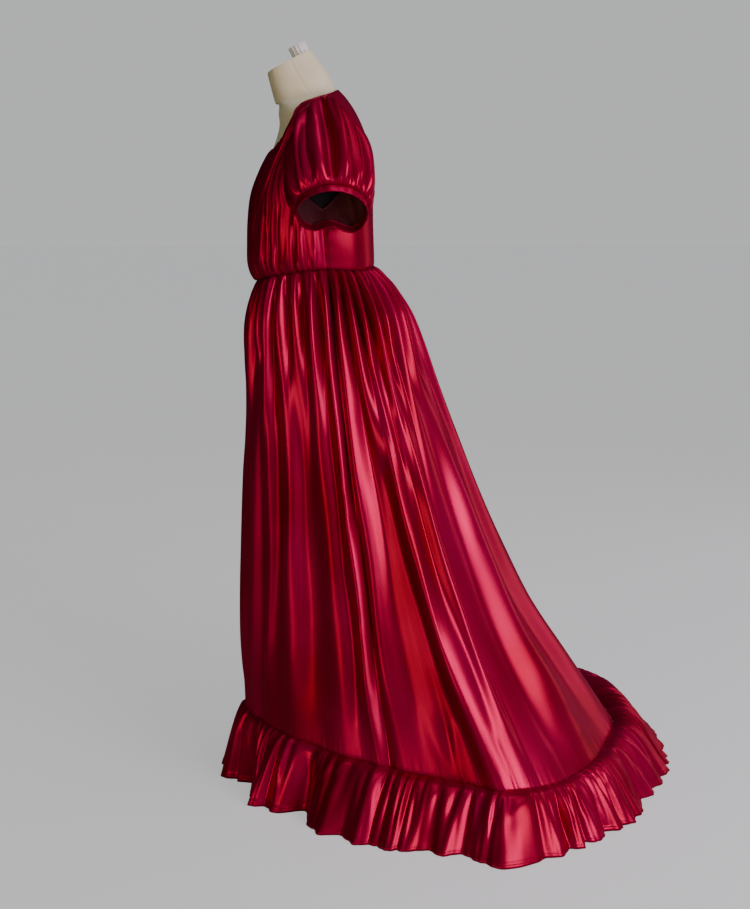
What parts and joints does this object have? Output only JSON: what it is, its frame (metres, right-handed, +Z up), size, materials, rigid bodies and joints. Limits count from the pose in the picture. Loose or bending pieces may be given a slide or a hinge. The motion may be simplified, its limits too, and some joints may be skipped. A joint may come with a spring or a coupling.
{
  "type": "regency gown on dress form",
  "caption": "Wine red satin regency gown with puff sleeves, a gathered skirt with a train and a hem ruffle, on a cream limbless dress form with a round stand.",
  "frame": {"origin": "on the floor under the centre of the stand's pole, at the middle of the round base's underside", "axes": "+Z up; the gown's front faces -Y and its train runs out to +Y; +X is the wearer's left"},
  "size_m": [1.0434, 0.9404, 1.4494],
  "materials": {
    "satin": "wine red satin with a strong soft sheen",
    "form_cloth": "matte cream jersey cover",
    "white_plastic": "plain white moulded knob",
    "stand_metal": "satin black paint"
  },
  "bodies": {
    "root": {"bodice_front": "satin", "bodice_back_left": "satin", "bodice_back_right": "satin", "sleeve_left": "satin", "sleeve_right": "satin", "cuff_left": "satin", "cuff_right": "satin", "skirt_front": "satin", "skirt_back_left": "satin", "skirt_back_right": "satin", "ruffle_front": "satin", "ruffle_back_left": "satin", "ruffle_back_right": "satin", "form_body": "form_cloth", "form_neck_knob": "white_plastic", "stand_pole": "stand_metal", "stand_collar": "stand_metal", "stand_base": "stand_metal"}
  },
  "joints": []
}
